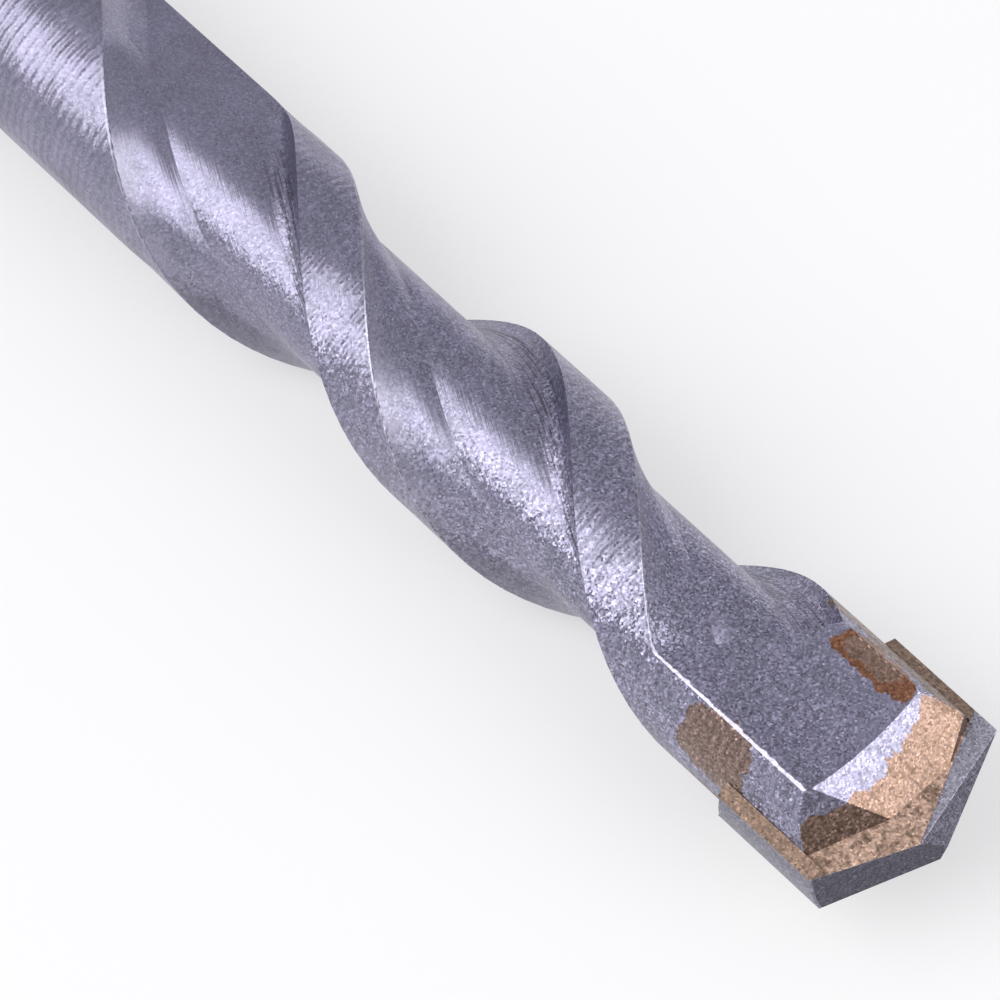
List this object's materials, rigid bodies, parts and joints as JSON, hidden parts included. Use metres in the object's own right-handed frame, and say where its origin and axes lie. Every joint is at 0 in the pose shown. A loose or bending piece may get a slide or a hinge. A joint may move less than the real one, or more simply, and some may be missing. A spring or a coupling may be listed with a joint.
{
  "type": "sds plus drill bit",
  "caption": "Hammer drill bit with a grooved plug-in shank, right-hand helical flutes and a brazed hardmetal cutting plate across its roof-shaped head.",
  "frame": {"origin": "centre of the flat striking face at the rear end of the shank, on the axis of the bit", "axes": "+X along the axis from the shank to the point, +Y across the cutting plate, +Z square to the plate, which lies level"},
  "size_m": [0.115, 0.01, 0.01],
  "materials": {
    "steel": "blasted tool steel, grey, with fine turning marks on the lands",
    "carbide": "dull ground hardmetal",
    "braze": "dull copper-coloured braze"
  },
  "bodies": {
    "root": {"steel_body": "steel", "carbide_plate": "carbide", "braze_joint": "braze"}
  },
  "joints": []
}
